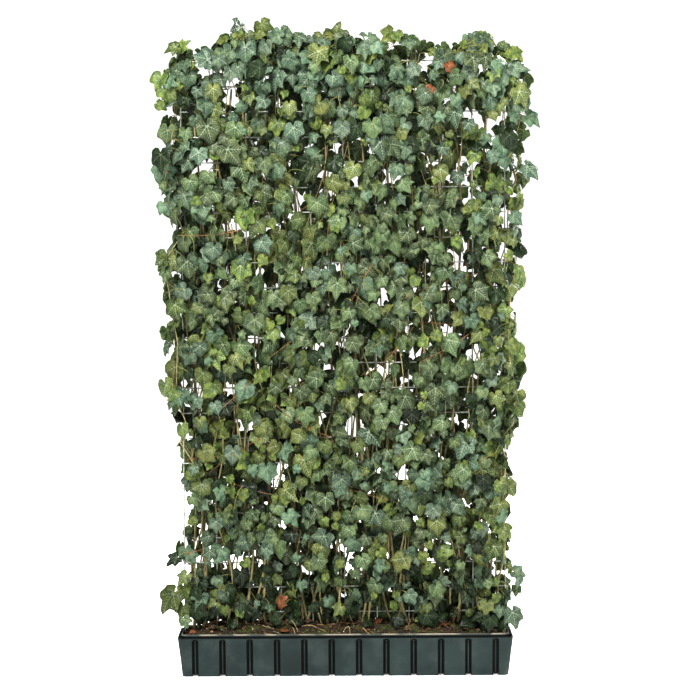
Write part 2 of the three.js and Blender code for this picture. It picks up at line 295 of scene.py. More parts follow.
def coats(add, base, *layers):
    """A base colour under layers, each a colour and the parts of the share that it covers."""
    for coat, *parts in layers:
        share = share_of(add, *parts)
        pair = [c if isinstance(c, bpy.types.NodeSocket) else rgba(c) for c in (base, coat)]
        base = add("Mix", {0: share, 6: pair[0], 7: pair[1]}, **TINT)
    return base


# ------------------------------------------------------------------ the hedge's outline


# How far the middles of the leaves reach to the left and to the right, from the foot upwards
EDGES = (
    (0.15, 0.465, 0.495), (0.27, 0.450, 0.500), (0.33, 0.490, 0.485), (0.39, 0.460, 0.490),
    (0.51, 0.455, 0.480), (0.63, 0.455, 0.492), (0.70, 0.500, 0.478), (0.755, 0.478, 0.518),
    (0.82, 0.512, 0.510), (1.00, 0.505, 0.500), (1.12, 0.525, 0.506), (1.24, 0.542, 0.526),
    (1.33, 0.482, 0.525), (1.42, 0.532, 0.502), (1.48, 0.540, 0.530), (1.54, 0.525, 0.505),
    (1.66, 0.510, 0.540), (1.78, 0.522, 0.520), (1.84, 0.500, 0.490), (1.90, 0.440, 0.440),
)
# The height that the middles of the topmost leaves reach, from left to right, less the lift
CROWN_LIFT = 0.011
CROWN = (
    (-0.54, 1.800), (-0.48, 1.852), (-0.42, 1.838), (-0.36, 1.888), (-0.24, 1.918), (-0.18, 1.895),
    (-0.06, 1.885), (0.00, 1.908), (0.06, 1.868), (0.12, 1.895), (0.18, 1.898), (0.24, 1.862),
    (0.30, 1.866), (0.36, 1.876), (0.42, 1.895), (0.48, 1.846), (0.54, 1.795),
)


def half_width(z, x):
    """How far the leaves' middles reach at a height, on the side of the hedge where x is."""
    heights, left, right = np.array(EDGES).T
    return np.where(np.asarray(x) < 0, np.interp(z, heights, left), np.interp(z, heights, right))


def crown_height(x):
    """The height that the leaves' middles reach at a place along the hedge."""
    places, heights = np.array(CROWN).T
    return np.interp(x, places, heights) + CROWN_LIFT


def patches(x, z, size, seed):
    """Smooth random patches about size metres across, from 0 to 1."""
    table = np.random.default_rng(seed).random((80, 80))
    u, v = np.asarray(x) / size + 40, np.asarray(z) / size + 2
    i, j = np.floor(u).astype(int), np.floor(v).astype(int)
    a, b = u - i, v - j
    a, b = a * a * (3 - 2 * a), b * b * (3 - 2 * b)

    def corner(right, up):
        return table[(i + right) % 80, (j + up) % 80]

    low = corner(0, 0) * (1 - a) + corner(1, 0) * a
    high = corner(0, 1) * (1 - a) + corner(1, 1) * a
    return low * (1 - b) + high * b


# Places where light shows through the leaves: x, z, radius
THIN_PLACES = (
    (-0.50, 1.67, 0.080), (-0.44, 1.84, 0.040), (-0.39, 1.86, 0.035), (0.21, 1.82, 0.045),
    (0.41, 1.80, 0.050), (-0.05, 1.49, 0.048), (-0.13, 1.40, 0.050), (0.31, 1.49, 0.042),
    (0.23, 1.33, 0.035), (0.37, 1.28, 0.045), (-0.01, 1.23, 0.034), (-0.20, 1.18, 0.040),
    (0.00, 1.00, 0.045), (0.11, 0.92, 0.040), (-0.28, 0.73, 0.045), (-0.43, 0.78, 0.042),
    (-0.23, 0.71, 0.036), (0.05, 0.72, 0.042), (0.04, 0.66, 0.040), (-0.17, 0.66, 0.040),
    (-0.37, 0.57, 0.048), (-0.30, 0.48, 0.045), (-0.33, 0.32, 0.055), (-0.37, 0.35, 0.040),
    (-0.12, 0.29, 0.046), (0.04, 0.28, 0.044), (0.17, 0.43, 0.042), (0.26, 0.37, 0.046),
    (0.31, 0.36, 0.040), (-0.45, 0.39, 0.055),
)
GAP_SHARE = 0.64  # the part of that radius that is nearly bare
# The share of leaves kept at each height: fewest at the waist
SHARE_HEIGHTS = (0.30, 0.62, 0.75, 1.25, 1.40)
SHARES = (0.88, 0.97, 0.75, 0.75, 0.78)


def leaf_share(x, z):
    """The share of leaves that grow at a place on the hedge's face."""
    share = np.interp(z, SHARE_HEIGHTS, SHARES)
    share = share * np.where((np.abs(x) > 0.46) & (z > 0.42), 0.84, 1.0)
    # Gaps of a leaf's width, and smaller ones between them
    share = share * np.clip((patches(x, z, 0.064, 8) - 0.08) / 0.13, 0.04, 1)
    share = share * np.clip((patches(x, z, 0.036, 9) - 0.15) / 0.16, 0.05, 1)
    for px, pz, radius in THIN_PLACES:
        away = ((x - px) ** 2 + (z - pz) ** 2) / (GAP_SHARE * radius) ** 2
        share = share * (1 - np.exp(-(away**1.5)))
    return share


# ------------------------------------------------------------------ stems and shoots

STEM_RADII = (0.0054, 0.0028)  # at the foot and at the top


def stem_line(plant):
    """The middle line of a plant's CAD stem, a point every 25 mm of height."""
    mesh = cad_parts[f"ivy_{plant + 1:02d}_stem"].data
    points = np.array([v.co for v in mesh.vertices])
    edges = np.array([e.vertices for e in mesh.edges])
    first, second = points[edges[:, 0]], points[edges[:, 1]]
    low, high = points[:, 2].min() + 0.002, points[:, 2].max() - 0.002
    line = []
    for z in np.arange(low, high, 0.025):
        crossing = (first[:, 2] - z) * (second[:, 2] - z) < 0
        a, b = first[crossing], second[crossing]
        share = ((z - a[:, 2]) / (b[:, 2] - a[:, 2]))[:, None]
        line.append((a + (b - a) * share).mean(axis=0))
    return np.array(line)


def shoot_lines(plant):
    """Side shoots of one plant: a list of (points, foot radius, redness)."""
    sizes = bpy.context.scene.ivy_sizes
    rng = np.random.default_rng(400 + plant)
    stem = stem_line(plant)
    lines = []
    for side in (FRONT, BACK):
        for number in range(sizes.shoots):
            from_soil = number < 3
            start = stem[3] if from_soil else stem[rng.integers(8, int(len(stem) * 0.75))]
            steps = int(rng.uniform(24, 62))
            t = np.arange(steps) * 0.025
            drift = rng.uniform(-0.12, 0.12) if from_soil else rng.uniform(-0.22, 0.22)
            sway = 0.018 * np.sin(t * rng.uniform(9, 16) + rng.uniform(0, 6))
            x = start[0] + drift * t + sway - sway[0] + (rng.uniform(-0.04, 0.04) if from_soil else 0)
            settle = 1 - np.exp(-t / 0.06)
            depth = rng.uniform(0.018, 0.05) + 0.008 * np.sin(t * 13 + rng.uniform(0, 6))
            y = start[1] + (side * depth - start[1]) * settle
            line = np.stack([x, y, start[2] + t], axis=1)
            reach = half_width(line[:, 2], line[:, 0]) - 0.01
            line[:, 0] = np.clip(line[:, 0], -reach, reach)
            line = line[line[:, 2] < crown_height(line[:, 0]) - 0.01]
            if len(line) > 4:
                foot = sizes.shoot * (rng.uniform(1.2, 2.0) if from_soil else rng.uniform(0.7, 1.1))
                lines.append((line, foot, 0.0 if from_soil else rng.uniform(0.1, 0.5)))
    for side in (FRONT, BACK):
        for _ in range(2):
            lines.append((stray_line(rng, stem, side), sizes.shoot * 0.55, rng.uniform(0.75, 1.0)))
    return lines


def stray_line(rng, stem, side):
    """A reddish shoot that strays sideways just under the outer leaves."""
    start = stem[rng.integers(int(len(stem) * 0.2), len(stem) - 4)]
    heading = rng.uniform(-0.5, 0.9) + (math.pi if rng.random() < 0.5 else 0)
    steps = int(rng.uniform(9, 16))
    t = np.arange(steps) * 0.02
    bend = heading + t * rng.uniform(-3, 3)
    x = start[0] + np.cumsum(np.cos(bend)) * 0.02
    z = start[2] + np.cumsum(np.sin(bend)) * 0.02
    y = start[1] + (side * rng.uniform(0.07, 0.092) - start[1]) * (1 - np.exp(-t / 0.05))
    reach = half_width(z, x)
    return np.stack([np.clip(x, -reach, reach), y, np.minimum(z, 1.86)], axis=1)


def stem_network():
    """All stems and shoots: for each plant its stem and its side shoots."""
    return [(stem_line(plant), shoot_lines(plant)) for plant in range(PLANTS)]


# ------------------------------------------------------------------ leaves

# The directions of a blade's veins and of the edge points between them, in degrees from its tip
VEIN_ANGLES = (0, 52, 114)
EDGE_ANGLES = (0, 9, 26, 42, 52, 64, 83, 100, 114, 138, 160)
DEEP_LOBES = (1.00, 0.84, 0.60, 0.70, 0.82, 0.68, 0.54, 0.58, 0.62, 0.48, 0.38)
SHALLOW_LOBES = (0.98, 0.90, 0.75, 0.72, 0.74, 0.70, 0.62, 0.60, 0.58, 0.49, 0.38)
NOTCH = 0.10
RINGS = (0.42, 0.76, 1.0)
TONE_CELLS = 8  # tones lie in a square of 8 by 8 cells on the flat map
TONES = TONE_CELLS**2
YOUNG_TONES = 8
UNDERSIDE_TONES = 6
DEAD_TONES = 2
GROWN_TONES = TONES - YOUNG_TONES - UNDERSIDE_TONES - DEAD_TONES
FAMILY_TONES = GROWN_TONES // 4  # olive, grey-green, blue-green and dark ones
OLIVE, GREY_GREEN, BLUE_GREEN, DARK = range(4)
# The first tone and the number of tones of full-grown, young and dead leaves
KINDS = (
    (0, GROWN_TONES),
    (GROWN_TONES, YOUNG_TONES),
    (GROWN_TONES + YOUNG_TONES, DEAD_TONES),
)


def leaf_tones():
    """The colour and vein strength of each tone: full-grown, young, dead, then undersides."""
    colours = bpy.context.scene.ivy_colours
    rng = np.random.default_rng(77)
    families = [colours.olive, colours.grey_green, colours.blue_green, colours.dark]
    depths = np.linspace(0.60, 1.30, FAMILY_TONES)
    rgb = [np.array(family) * depth for family in families for depth in depths]
    rgb += [np.array(colours.young) * rng.uniform(0.55, 1.05) for _ in range(YOUNG_TONES)]
    rgb += [np.array(linear("6f4a2a")), np.array(linear("54392a"))]
    rgb += [np.array(colours.underside) * rng.uniform(0.8, 1.2) for _ in range(UNDERSIDE_TONES)]
    rgb = np.array(rgb) * rng.uniform(0.92, 1.08, (TONES, 3))
    veins = rng.uniform(0.30, 0.90, TONES)
    veins[DARK * FAMILY_TONES : GROWN_TONES] *= 0.4
    veins[GROWN_TONES : GROWN_TONES + YOUNG_TONES] *= 0.45
    return rgb, veins


def scattered(rng, low, high, spacing):
    """Places on a grid with half-step offsets, each moved at random, between two corners."""
    across = np.arange(low[0], high[0], spacing)
    up = np.arange(low[1], high[1], spacing * 0.9)
    x, z = np.meshgrid(across, up)
    x = x + (np.arange(len(up)) % 2)[:, None] * spacing / 2
    x = x + rng.uniform(-0.42, 0.42, x.shape) * spacing
    z = z + rng.uniform(-0.42, 0.42, z.shape) * spacing
    return x.ravel(), z.ravel()


def pick_tones(rng, x, z, young_share, shade):
    """A tone for each leaf: cooler at the top, foot and left end; lighter at the right end, as painted
    light; more often dark where shade is painted.
    """
    n = len(x)
    cool = 0.10 + 0.50 * np.exp(-(((z - 1.86) / 0.16) ** 2))
    cool = cool + 0.50 * np.exp(-(((z - 0.2) / 0.22) ** 2))
    cool = cool + 0.30 * np.exp(-(((x + 0.52) / 0.12) ** 2)) + 0.20 * patches(x, z, 0.16, 21)
    # Painted light: more olive leaves at the right end
    warm = np.clip(patches(x, z, 0.22, 22) * 1.6 - 0.25 + 1.2 * (x > 0.45), 0, 1)
    family = np.where(rng.random(n) < cool, BLUE_GREEN, GREY_GREEN)
    family = np.where((family == GREY_GREEN) & (rng.random(n) < warm), OLIVE, family)
    # Painted shade: more dark leaves at the foot, fewer at its right end, on top of each layer's shade
    # share
    shade = shade + np.where(x > 0.2, 0.08, 0.28) * np.clip((0.42 - z) / 0.2, 0, 1)
    family = np.where(rng.random(n) < shade, DARK, family)
    # Painted light: lighter tones at the right end
    lightness = rng.random(n) ** np.where(x > 0.45, 0.2, 1.0)
    tone = (family * FAMILY_TONES + lightness * FAMILY_TONES).astype(int)
    young = rng.random(n) < young_share * 2 * patches(x, z, 0.14, 23)
    return np.where(young, GROWN_TONES + rng.integers(0, YOUNG_TONES, n), tone), young


def aimed(rng, outward, droop, spread, roll):
    """Leaf directions: normals near outward, tips hanging down, each turned at random."""
    n = len(outward)
    turn = rng.normal(0, spread, n)
    sideways = np.stack([-outward[:, 1], outward[:, 0], np.zeros(n)], axis=1)
    normal = outward + sideways * np.tan(np.clip(turn, -1.1, 1.1))[:, None]
    normal = unit(normal) + np.array([0, 0, 1]) * (droop + rng.normal(0, 0.28, n))[:, None]
    normal = unit(normal)
    down = np.array([0, 0, -1.0]) + 0.25 * outward
    tip = unit(down - normal * np.sum(down * normal, axis=1, keepdims=True))
    side = np.cross(tip, normal)
    turn = rng.normal(0, roll, n)[:, None]
    return unit(tip * np.cos(turn) + side * np.sin(turn)), normal


def leaf_sizes(rng, young):
    sizes = bpy.context.scene.ivy_sizes
    grown = sizes.leaf * np.clip(rng.normal(1, sizes.leaf_spread, len(young)), 0.50, 1.50)
    small = sizes.young_leaf * rng.uniform(0.6, 1.25, len(young))
    return np.where(young, small, grown)


def plant_leaves(leaves, rng, centres, outward, lean, tint):
    """Adds leaves: lean is their droop, turn and roll, tint their shares of young ones and of dark
    ones, which stand for painted shade.
    """
    outward = np.stack(np.broadcast_arrays(*outward), axis=1)
    tips, normals = aimed(rng, unit(outward), *lean)
    tones, young = pick_tones(rng, centres[0], centres[2], *tint)
    foot = 1 - 0.16 * np.clip((0.62 - centres[2]) / 0.3, 0, 1)
    sizes = leaf_sizes(rng, young) * foot
    bases = np.stack(centres, axis=1) - tips * sizes[:, None] * 0.30
    # From 0 for a deeply lobed blade to 1 for a shallow one
    lobes = np.where(young, 0.8, rng.random(len(young)))
    leaves.append((bases, tips, normals, sizes, tones, lobes))


def face_leaves(leaves, rng, side, depth, spacing, young_share, shade):
    """One layer of leaves over the front or the back of the hedge."""
    x, z = scattered(rng, (-0.60, 0.150), (0.60, 1.93), spacing)
    reach = half_width(z, x) + rng.normal(0, 0.012, len(x))
    top = crown_height(x)
    low = (0.190 if side == FRONT else 0.150) + 0.018 * np.sin(x * 23 + side)
    share = leaf_share(x, z) * (np.where(z < 0.33, 0.78, 1.0) if side == FRONT else 1.0)
    keep = (np.abs(x) < reach) & (z < top) & (z > low) & (rng.random(len(x)) < share)
    x, z, reach, top = x[keep], z[keep], reach[keep], top[keep]
    end = np.clip((np.abs(x) / reach - 0.84) / 0.16, 0, 1)
    crown = np.clip(1 - (top - z) / 0.08, 0, 1)
    rounded = np.sqrt(np.clip(1 - 0.7 * end**2, 0, 1) * np.clip(1 - 0.7 * crown**2, 0, 1))
    foot = np.clip((0.34 - z) / 0.16, 0, 1)
    swell = 0.030 * (patches(x, z, 0.11, 31 + side) - 0.55)
    tucked = 0.014 * foot * (depth > 0.05)
    y = side * ((depth + swell) * rounded - tucked + rng.normal(0, 0.010, len(x)))
    outward = (0.8 * end * np.sign(x), side, 0.8 * crown)
    tint = (young_share * (1 + 1.2 * crown), shade)
    plant_leaves(leaves, rng, (x, y, z), outward, (0.32, 0.50, 0.48), tint)


def end_leaves(leaves, rng, side):
    """Leaves over one end of the hedge."""
    y, z = scattered(rng, (-0.075, 0.19), (0.075, 1.80), 0.050)
    keep = rng.random(len(y)) < np.where(z < 0.62, 0.55, 0.75)
    if side < 0:
        keep &= rng.random(len(y)) < 1 - 0.95 * np.exp(-(((z - 1.67) / 0.08) ** 2))
    y, z = y[keep], z[keep]
    x = side * (half_width(z, np.full(len(y), side)) + rng.normal(-0.010, 0.014, len(y)))
    outward = (0.8 * side, y / 0.06, 0)
    plant_leaves(leaves, rng, (x, y, z), outward, (0.25, 0.50, 0.6), (0.10, 0.06))


def crown_leaves(leaves, rng):
    """Leaves over the top of the hedge, some of them standing up."""
    x, y = scattered(rng, (-0.53, -0.07), (0.53, 0.07), 0.042)
    keep = rng.random(len(x)) < 0.85 * leaf_share(x, np.full(len(x), 1.84))
    x, y = x[keep], y[keep]
    z = crown_height(x) - 5.0 * y**2 + rng.normal(-0.016, 0.015, len(x))
    outward = (rng.normal(0, 0.3, len(x)), y / 0.05 - 0.5, 0.6)
    plant_leaves(leaves, rng, (x, y, z), outward, (0.0, 0.40, 1.0), (0.20, 0.05))


def foot_leaves(leaves, rng):
    """Old leaves round the stems just above the soil, most of them dark as painted shade."""
    x = rng.uniform(-0.47, 0.48, 540)
    in_front = rng.random(len(x)) < 0.12
    y = np.where(in_front, rng.uniform(-0.07, -0.02, len(x)), rng.uniform(0.0, 0.085, len(x)))
    z = 0.140 + 0.022 * (1 - (y / 0.08) ** 2) + 0.13 * rng.random(len(x)) ** 1.7
    outward = (0, np.where(y < 0, -1.0, 1.0), 0.4)
    plant_leaves(leaves, rng, (x, y, z), outward, (0.3, 0.6, 0.8), (0.02, 0.85))


# Leaves that stand out: x, y, z, size in metres, tip direction, and 0 for a full-grown one,
# 1 for a young one or 2 for a dead one
OUTSTANDING = (
    (-0.530, -0.05, 0.228, 0.064, (-0.70, -0.25, -0.7), 0),
    (-0.490, -0.05, 0.190, 0.040, (-0.30, -0.25, -0.9), 0),
    (-0.485, -0.06, 0.290, 0.036, (-0.60, -0.25, -0.6), 0),
    (-0.480, -0.05, 0.250, 0.038, (0.20, -0.30, -0.9), 1),
    (-0.515, -0.05, 0.345, 0.036, (-0.80, -0.25, -0.4), 0),
    (-0.478, -0.07, 0.160, 0.032, (0.30, -0.30, -0.8), 0),
    (0.575, -0.03, 1.655, 0.046, (0.85, -0.2, -0.45), 0),
    (0.580, -0.05, 1.505, 0.050, (0.75, -0.3, -0.6), 0),
    (-0.545, -0.04, 1.770, 0.045, (-0.4, -0.3, -0.85), 1),
    (-0.530, -0.05, 1.735, 0.036, (0.1, -0.3, -0.9), 1),
    (-0.505, -0.03, 1.870, 0.036, (-0.8, -0.2, -0.2), 1),
    (-0.470, -0.03, 1.880, 0.034, (0.5, -0.3, 0.5), 1),
    (-0.235, -0.03, 1.925, 0.048, (0.2, -0.3, -0.6), 1),
    (-0.020, -0.03, 1.910, 0.058, (0.1, -0.3, 0.9), 0),
    (0.135, -0.04, 1.900, 0.046, (-0.5, -0.3, -0.5), 1),
    (0.420, -0.04, 1.880, 0.052, (-0.2, -0.3, -0.8), 1),
    (0.515, -0.05, 1.845, 0.042, (0.6, -0.3, -0.5), 1),
    (-0.290, -0.10, 1.360, 0.056, (-0.1, -0.2, -0.9), 1),
    (0.522, -0.04, 0.300, 0.036, (0.9, -0.2, -0.2), 0),
    (0.320, -0.09, 1.805, 0.032, (0.5, -0.3, -0.7), 2),
    (0.255, -0.09, 1.740, 0.026, (-0.5, -0.3, -0.7), 2),
    (-0.190, -0.08, 0.226, 0.034, (0.4, -0.4, 0.5), 2),
    (0.505, -0.10, 0.170, 0.052, (0.25, -0.3, -0.8), 0),
    (0.430, -0.11, 0.150, 0.044, (-0.1, -0.3, -0.9), 0),
)


def outstanding_leaves(leaves, rng):
    for x, y, z, size, tip, kind in OUTSTANDING:
        tip = unit(np.array([tip], float))
        outward = np.array([[0.35 * np.sign(x), -0.85, 0.35]])
        normal = unit(outward - tip * np.sum(outward * tip))
        first, count = KINDS[kind]
        tone = first + rng.integers(0, count)
        base = np.array([[x, y, z]]) - tip * size * 0.35
        leaves.append((base, tip, normal, [size], [tone], [0.3]))


# Layers of leaves on each face: distance from the mesh, spacing beside the outer layer's, and
# the shares of young and of dark leaves; the dark share grows inwards as painted shade
LAYERS = (
    (0.088, 1.0, 0.13, 0.04),
    (0.060, 1.0, 0.08, 0.24),
    (0.028, 1.3, 0.03, 0.65),
)


def all_leaves():
    """Every leaf: its base, tip direction, normal, size, tone and lobes, as arrays."""
    spacing = bpy.context.scene.ivy_sizes.spacing
    leaves = []
    rng = np.random.default_rng(2024)
    for side in (FRONT, BACK):
        for depth, looser, young_share, shade in LAYERS:
            face_leaves(leaves, rng, side, depth, spacing * looser, young_share, shade)
        end_leaves(leaves, rng, side)
    crown_leaves(leaves, rng)
    foot_leaves(leaves, rng)
    outstanding_leaves(leaves, rng)
    return [np.concatenate(values) for values in zip(*leaves)]


def blade_template():
    """The flat plan that all blades share: spoke angles, rings, and faces for one blade."""
    half = np.radians(EDGE_ANGLES)
    angles = np.concatenate([-half[:0:-1], half, [math.pi]])
    spokes, rings = len(angles), len(RINGS)
    count = 1 + spokes * rings

    def at(ring, spoke):
        return 1 + ring * spokes + spoke % spokes

    fan = [(0, at(0, s + 1), at(0, s)) for s in range(spokes)]
    quads = [
        (at(r, s), at(r, s + 1), at(r + 1, s + 1), at(r + 1, s))
        for r in range(rings - 1)
        for s in range(spokes)
    ]
    fan, quads = np.array(fan), np.array(quads)
    edge = [(at(rings - 1, s), at(rings - 1, s + 1)) for s in range(spokes)]
    rim = np.array([(a, b, b + count, a + count) for a, b in edge])
    triangles = np.concatenate([fan, fan[:, ::-1] + count])
    squares = np.concatenate([quads, quads[:, ::-1] + count, rim])
    return angles, count, triangles, squares, len(quads)


def blade_points(rng, sizes, lobes, angles):
    """Blade points in leaf lengths: across, towards the tip, and the blade's rise."""
    n, spokes = len(sizes), len(angles)
    mirror = np.abs(np.arange(spokes) - (spokes - 2) // 2)
    table = [np.append(np.array(t)[mirror[:-1]], NOTCH) for t in (DEEP_LOBES, SHALLOW_LOBES)]
    radii = table[0] * (1 - lobes[:, None]) + table[1] * lobes[:, None]
    radii = radii * (1 + rng.normal(0, 0.045, (n, spokes)))
    spread = radii[:, None, :] * np.array(RINGS)[None, :, None]
    across = spread * np.sin(angles)
    ahead = spread * np.cos(angles)
    across = np.concatenate([np.zeros((n, 1)), across.reshape(n, -1)], axis=1)
    ahead = np.concatenate([np.zeros((n, 1)), ahead.reshape(n, -1)], axis=1)
    return across, ahead


def vein_plan(across, ahead):
    """How far a blade point is from its nearest main vein, and how far along that vein."""
    reach = np.hypot(across, ahead)
    bearing = np.abs(np.degrees(np.arctan2(across, ahead)))
    gaps = np.abs(bearing[..., None] - np.array(VEIN_ANGLES))
    off = np.radians(gaps.min(axis=-1))
    # The two veins that turn back towards the stalk are the finest
    fine = np.where(gaps.argmin(axis=-1) == 2, 0.011, 0.0)
    return reach * np.sin(np.minimum(off, math.pi / 2)) + fine, reach * np.cos(off)


def grow_blades(name, bases, tips, normals, sizes, tones, lobes, seed):
    """One piece made of curved, closed leaf blades, with the maps that its material reads."""
    rng = np.random.default_rng(seed)
    angles, count, triangles, squares, top_quads = blade_template()
    n = len(sizes)
    across, ahead = blade_points(rng, sizes, lobes, angles)
    gap, along = vein_plan(across, ahead)
    reach2 = across**2 + ahead**2
    puff = rng.uniform(0.25, 0.75, (n, 1))
    fold = rng.uniform(-0.14, 0.26, (n, 1))
    droop = rng.uniform(0.02, 0.40, (n, 1))
    wave = rng.uniform(0.0, 0.10, (n, 1))
    dome = rng.uniform(-0.34, 0.0, (n, 1))
    phase = rng.uniform(0, 6.3, (n, 1))
    bearing = np.arctan2(across, ahead)
    rise = (
        puff * np.minimum(gap, 0.16)
        + fold * np.abs(across)
        - droop * ahead * np.abs(ahead)
        + wave * np.sin(3 * bearing + phase) * reach2
        + dome * reach2
    )
    plan = np.stack([across, ahead, rise], axis=-1) * sizes[:, None, None]
    sides = np.cross(tips, normals)
    axes = np.stack([sides, tips, normals], axis=1)
    top = bases[:, None] + plan @ axes
    thickness = bpy.context.scene.ivy_sizes.leaf_thickness
    points = np.concatenate([top, top - normals[:, None] * thickness], axis=1)
    offsets = (np.arange(n) * 2 * count)[:, None, None]
    faces = [
        (triangles[None] + offsets).reshape(-1, 3),
        (squares[None] + offsets).reshape(-1, 4),
    ]
    piece = add_mesh(name, points.reshape(-1, 3), faces, [])
    rgb, veins = leaf_tones()
    back = TONES - UNDERSIDE_TONES + tones % UNDERSIDE_TONES
    both = np.stack([tones, back], axis=1)
    per_point = np.repeat(both.ravel(), count)
    add_colours(piece, "leaf_tone", rgb[per_point])
    add_values(piece, "leaf_veins", veins[per_point])
    add_values(piece, "leaf_seed", per_point * 1.7)
    add_leaf_maps(piece, across, ahead, gap, along, both, triangles, squares, count, top_quads)
    return piece


def add_leaf_maps(piece, across, ahead, gap, along, both, triangles, squares, count, top_quads):
    """The blades' maps: their flat plan, their vein plan, and a flat map with a cell for a tone."""
    flat = squares.copy()
    rim = flat[2 * top_quads :]
    rim[:, 2:] -= count
    corners = np.concatenate([triangles.ravel(), flat.ravel()])
    split = triangles.size

    def per_corner(values, spots=corners % count):
        picked = values[:, spots]
        return np.concatenate([picked[:, :split].ravel(), picked[:, split:].ravel()])

    u, v = per_corner(across), per_corner(ahead)
    add_map(piece, "LeafPlan", np.stack([u, v], axis=1))
    add_map(piece, "VeinPlan", np.stack([per_corner(gap), per_corner(along)], axis=1))
    cell = per_corner(np.repeat(both, count, axis=1), corners)
    margin = 0.05
    inside_u = np.clip((u + 0.85) / 1.70, 0, 1) * (1 - 2 * margin) + margin
    inside_v = np.clip((v + 0.50) / 1.66, 0, 1) * (1 - 2 * margin) + margin
    cells = np.stack([(cell % TONE_CELLS + inside_u), (cell // TONE_CELLS + inside_v)], axis=1)
    add_map(piece, "OFBake", cells / TONE_CELLS)


def leaf_stalks(bases, normals, network_points):
    """A curved stalk from the nearest shoot to each blade's base."""
    nearest = np.empty(len(bases), int)
    for start in range(0, len(bases), 200):
        block = bases[start : start + 200]
        gaps = np.linalg.norm(block[:, None] - network_points[None] + [0, 0, 0.012], axis=2)
        nearest[start : start + 200] = gaps.argmin(axis=1)
    feet = network_points[nearest]
    span = np.linalg.norm(bases - feet, axis=1, keepdims=True)
    middle = (feet + bases) / 2 + (normals * 0.22 + [0, 0, 0.18]) * span
    t = np.linspace(0, 1, 5)[None, :, None]
    return (1 - t) ** 2 * feet[:, None] + 2 * t * (1 - t) * middle[:, None] + t**2 * bases[:, None]


# How far a blade reaches behind its base, to its sides and up, in leaf lengths
BEHIND, BESIDE, ABOVE = 0.42, 0.64, 0.20


def kept_inside(leaves_of, low, high):
    """Moves each leaf's base so that its whole blade stays between two corners."""
    bases, tips, normals, sizes = leaves_of
    size = sizes[:, None]
    sideways = np.abs(np.cross(tips, normals)) * BESIDE + np.abs(normals) * ABOVE
    least = bases - size * (np.maximum(-tips, tips * BEHIND) + sideways)
    most = bases + size * (np.maximum(tips, -tips * BEHIND) + sideways)
    return bases + np.maximum(low - least, 0) - np.maximum(most - high, 0)


# ------------------------------------------------------------------ materials of the plants


def ivy_leaf_material():
    """Ivy leaf: a leathery blade with a waxy cuticle, so soft broad highlights and pale veins."""
    colours = bpy.context.scene.ivy_colours
    material, shader, add = new_material("waxy_ivy_leaf", roughness=0.42, ior=1.45)
    # Weathered leaves carry dust, which dulls about a third of the cuticle's shine
    set_inputs(shader, {"Specular IOR Level": 0.34})
    gap = add("SeparateXYZ", (add("UVMap", uv_map="VeinPlan"),))
    along = gap.node.outputs["Y"]
    seed = add("Attribute", attribute_name="leaf_seed", output="Fac")
    spot = add("CombineXYZ", (seed, seed, seed))
    on_leaf = add("VectorMath", (add("UVMap", uv_map="LeafPlan"), spot))

    def blotches(per_leaf, detail):
        """A noise's inputs for so many lumps along a leaf."""
        return {"Vector": on_leaf, "Scale": per_leaf, "Detail": detail}

    # A main vein is about 1 mm wide: 0.024 of a leaf's length, and thinner to the tip.
    taper = add("MapRange", (along, 0.0, 1.0, 0.024, 0.009), **SMOOTH)
    off_vein = add("Math", (gap, taper), operation="DIVIDE")
    main_vein = add("Math", (1.0, off_vein), use_clamp=True, **LESS)
    # Side veins leave the main one at about 45 degrees, every 6 mm or so.
    slant = add("Math", (add("Math", (along, gap), **LESS), 42.0), **TIMES)
    wave = add("Math", (slant,), operation="SINE")
    side_vein = share_of(add, (wave, 0.80, 1.0), (gap, 0.30, 0.05), 0.72)
    pale = add("Math", (main_vein, side_vein), operation="MAXIMUM")
    pale = share_of(add, pale, add("Attribute", attribute_name="leaf_veins", output="Fac"))
    tone = add("Attribute", attribute_name="leaf_tone", output="Color")
    # Each leaf is blotched between a darker and a lighter copy of its tone: random tone, and partly
    # painted shade and painted highlight
    darker = add("Mix", {0: 1.0, 6: tone, 7: (0.60, 0.66, 0.62, 1)}, **DARKEN)
    lighter = add("Mix", {0: 1.0, 6: tone, 7: (1.48, 1.31, 1.25, 1)}, **DARKEN)
    cloud, speckle, dust, pucker = (
        add("TexNoise", blotches(*lumps_and_detail))
        for lumps_and_detail in ((2.4, 3.0), (14.0, 3.0), (5.0, 4.0), (9.0, 3.0))
    )
    blade = coats(add, darker, (lighter, (cloud, 0.36, 0.66)))
    speckle = add("MapRange", (speckle, 0.38, 0.62, 0.78, 1.18), **SMOOTH)
    grey = add("CombineColor", (speckle, speckle, speckle))
    blade = add("Mix", {0: 1.0, 6: blade, 7: grey}, **DARKEN)
    dusty = add("MapRange", (dust, 0.3, 0.7, 0.34, 0.55), **SMOOTH)
    height = add("Math", (pucker, add("Math", (pale, 0.7), **TIMES)), **LESS)
    bump = add("Bump", relief(height, 0.5, 0.6))
    blade = coats(add, blade, (colours.vein, pale))
    set_inputs(shader, {"Base Color": blade, "Roughness": dusty, "Normal": bump})
    return material


